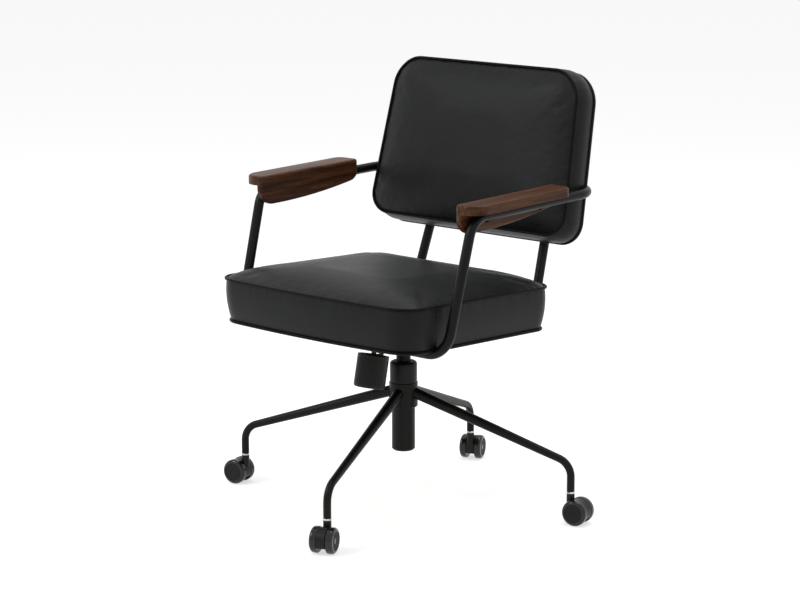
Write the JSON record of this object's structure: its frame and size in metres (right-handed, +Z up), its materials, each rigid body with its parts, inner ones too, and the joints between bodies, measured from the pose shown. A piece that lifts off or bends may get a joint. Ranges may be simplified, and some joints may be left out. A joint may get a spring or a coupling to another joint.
{
  "type": "swivel desk chair",
  "caption": "Low-back swivel desk chair with a bent black tube frame, padded black leather seat and back, wooden armrests and a star base on casters.",
  "frame": {"origin": "on the floor, under the centre of the gas column", "axes": "+Z up, the front of the seat faces -Y, +X is the left hand of someone sitting in it"},
  "size_m": [0.7494, 0.7516, 0.8439],
  "materials": {
    "tube_black": "satin black powder coat",
    "cap_plastic": "moulded black polypropylene",
    "bush_plastic": "natural acetal",
    "zinc_steel": "bright zinc plate",
    "polished_rod": "hard chromed and ground",
    "cylinder_paint": "semi-gloss black",
    "mechanism_paint": "black powder coat",
    "spring_steel": "oil tempered wire",
    "black_leather": "smooth black leather with a soft sheen",
    "plywood": "moulded birch plywood",
    "back_panel": "panel covered in the same black leather",
    "dark_wood": "oiled dark walnut",
    "stem_zinc": "bright zinc plate",
    "hood_plastic": "moulded black nylon",
    "wheel_plastic": "glossy black tread, matt disc"
  },
  "bodies": {
    "base": {"base_hub": "tube_black", "stand_tube": "tube_black", "column_cap": "cap_plastic", "guide_bush": "bush_plastic", "leg_front": "tube_black", "leg_left": "tube_black", "leg_rear": "tube_black", "leg_right": "tube_black", "caster_stem_front": "stem_zinc", "caster_stem_left": "stem_zinc", "caster_stem_rear": "stem_zinc", "caster_stem_right": "stem_zinc"},
    "piston": {"piston_rod": "polished_rod", "thrust_bearing": "zinc_steel", "retaining_clip": "zinc_steel"},
    "lift": {"gas_cylinder": "cylinder_paint", "mechanism_pan": "mechanism_paint", "tilt_bush_left": "bush_plastic", "tilt_bush_right": "bush_plastic", "tension_spring": "spring_steel"},
    "seat": {"top_plate": "mechanism_paint", "tilt_shaft": "zinc_steel", "plate_bolts": "zinc_steel", "seat_board": "plywood", "seat_cushion": "black_leather", "arm_loop": "tube_black", "upright_left": "tube_black", "upright_right": "tube_black", "tube_plugs": "cap_plastic", "rail_bolts": "zinc_steel", "back_board": "back_panel", "back_cushion": "black_leather", "back_spacers": "tube_black", "back_bolts": "zinc_steel", "armrest_left": "dark_wood", "armrest_right": "dark_wood", "armrest_screws": "zinc_steel"},
    "lever": {"height_lever": "zinc_steel", "lever_grip": "cap_plastic"},
    "pin": {"release_pin": "zinc_steel"},
    "bolt": {"tension_bolt": "zinc_steel"},
    "washer": {"spring_washer": "zinc_steel"},
    "knob": {"tension_knob": "cap_plastic"},
    "caster_front": {"caster_hood_front": "hood_plastic", "caster_axle_front": "zinc_steel"},
    "wheel_front_a": {"caster_wheel_front_a": "wheel_plastic"},
    "wheel_front_b": {"caster_wheel_front_b": "wheel_plastic"},
    "caster_left": {"caster_hood_left": "hood_plastic", "caster_axle_left": "zinc_steel"},
    "wheel_left_a": {"caster_wheel_left_a": "wheel_plastic"},
    "wheel_left_b": {"caster_wheel_left_b": "wheel_plastic"},
    "caster_rear": {"caster_hood_rear": "hood_plastic", "caster_axle_rear": "zinc_steel"},
    "wheel_rear_a": {"caster_wheel_rear_a": "wheel_plastic"},
    "wheel_rear_b": {"caster_wheel_rear_b": "wheel_plastic"},
    "caster_right": {"caster_hood_right": "hood_plastic", "caster_axle_right": "zinc_steel"},
    "wheel_right_a": {"caster_wheel_right_a": "wheel_plastic"},
    "wheel_right_b": {"caster_wheel_right_b": "wheel_plastic"}
  },
  "joints": [
    {"name": "seat_swivel", "type": "hinge", "parent": "base", "child": "piston", "pos_m": [0, 0, 0.112], "axis": [0, 0, 1], "continuous": true},
    {"name": "seat_height", "type": "slide", "parent": "piston", "child": "lift", "axis": [0, 0, 1], "range_m": [0, 0.08]},
    {"name": "seat_tilt", "type": "hinge", "parent": "lift", "child": "seat", "pos_m": [0, -0.04593, 0.34282], "axis": [-1, 0, 0], "range_deg": [0, 10], "stiffness_Nm_per_rad": 150, "springref_deg": -5.73},
    {"name": "lever_lift", "type": "hinge", "parent": "lift", "child": "lever", "pos_m": [-0.035, -0.00078, 0.34552], "axis": [0, 0.9992, -0.0401], "range_deg": [0, 4]},
    {"name": "pin_press", "type": "slide", "parent": "lift", "child": "pin", "axis": [0, 0, -1], "range_m": [0, 0.003]},
    {"name": "bolt_lift", "type": "slide", "parent": "lift", "child": "bolt", "axis": [0, 0.2079, 0.9781], "range_m": [0, 0.0075], "deforming": ["tension_spring"]},
    {"name": "knob_travel", "type": "slide", "parent": "bolt", "child": "washer", "axis": [0, 0.2079, 0.9781], "range_m": [0, 0.0032], "deforming": ["tension_spring"]},
    {"name": "knob_turn", "type": "hinge", "parent": "washer", "child": "knob", "pos_m": [0, -0.086, 0.312], "axis": [0, 0.2079, 0.9781], "range_deg": [0, 720]},
    {"name": "caster_swivel_front", "type": "hinge", "parent": "base", "child": "caster_front", "pos_m": [0.10754, -0.33097, 0.05], "axis": [0, 0, 1], "continuous": true},
    {"name": "wheel_roll_front_a", "type": "hinge", "parent": "caster_front", "child": "wheel_front_a", "pos_m": [0.11366, -0.34575, 0.025], "axis": [0.9239, 0.3827, 0], "continuous": true},
    {"name": "wheel_roll_front_b", "type": "hinge", "parent": "caster_front", "child": "wheel_front_b", "pos_m": [0.11366, -0.34575, 0.025], "axis": [0.9239, 0.3827, 0], "continuous": true},
    {"name": "caster_swivel_left", "type": "hinge", "parent": "base", "child": "caster_left", "pos_m": [0.33097, 0.10754, 0.05], "axis": [0, 0, 1], "continuous": true},
    {"name": "wheel_roll_left_a", "type": "hinge", "parent": "caster_left", "child": "wheel_left_a", "pos_m": [0.34664, 0.11076, 0.025], "axis": [-0.2011, 0.9796, 0], "continuous": true},
    {"name": "wheel_roll_left_b", "type": "hinge", "parent": "caster_left", "child": "wheel_left_b", "pos_m": [0.34664, 0.11076, 0.025], "axis": [-0.2011, 0.9796, 0], "continuous": true},
    {"name": "caster_swivel_rear", "type": "hinge", "parent": "base", "child": "caster_rear", "pos_m": [-0.10754, 0.33097, 0.05], "axis": [0, 0, 1], "continuous": true},
    {"name": "wheel_roll_rear_a", "type": "hinge", "parent": "caster_rear", "child": "wheel_rear_a", "pos_m": [-0.11366, 0.34575, 0.025], "axis": [-0.9239, -0.3827, 0], "continuous": true},
    {"name": "wheel_roll_rear_b", "type": "hinge", "parent": "caster_rear", "child": "wheel_rear_b", "pos_m": [-0.11366, 0.34575, 0.025], "axis": [-0.9239, -0.3827, 0], "continuous": true},
    {"name": "caster_swivel_right", "type": "hinge", "parent": "base", "child": "caster_right", "pos_m": [-0.33097, -0.10754, 0.05], "axis": [0, 0, 1], "continuous": true},
    {"name": "wheel_roll_right_a", "type": "hinge", "parent": "caster_right", "child": "wheel_right_a", "pos_m": [-0.34664, -0.11076, 0.025], "axis": [0.2011, -0.9796, 0], "continuous": true},
    {"name": "wheel_roll_right_b", "type": "hinge", "parent": "caster_right", "child": "wheel_right_b", "pos_m": [-0.34664, -0.11076, 0.025], "axis": [0.2011, -0.9796, 0], "continuous": true}
  ],
  "couplings": [
    {"joint": "pin_press", "follows": "lever_lift", "m_per_rad": 0.037},
    {"joint": "bolt_lift", "follows": "seat_tilt", "m_per_rad": 0.041},
    {"joint": "knob_travel", "follows": "knob_turn", "m_per_rad": 0.00023873}
  ]
}
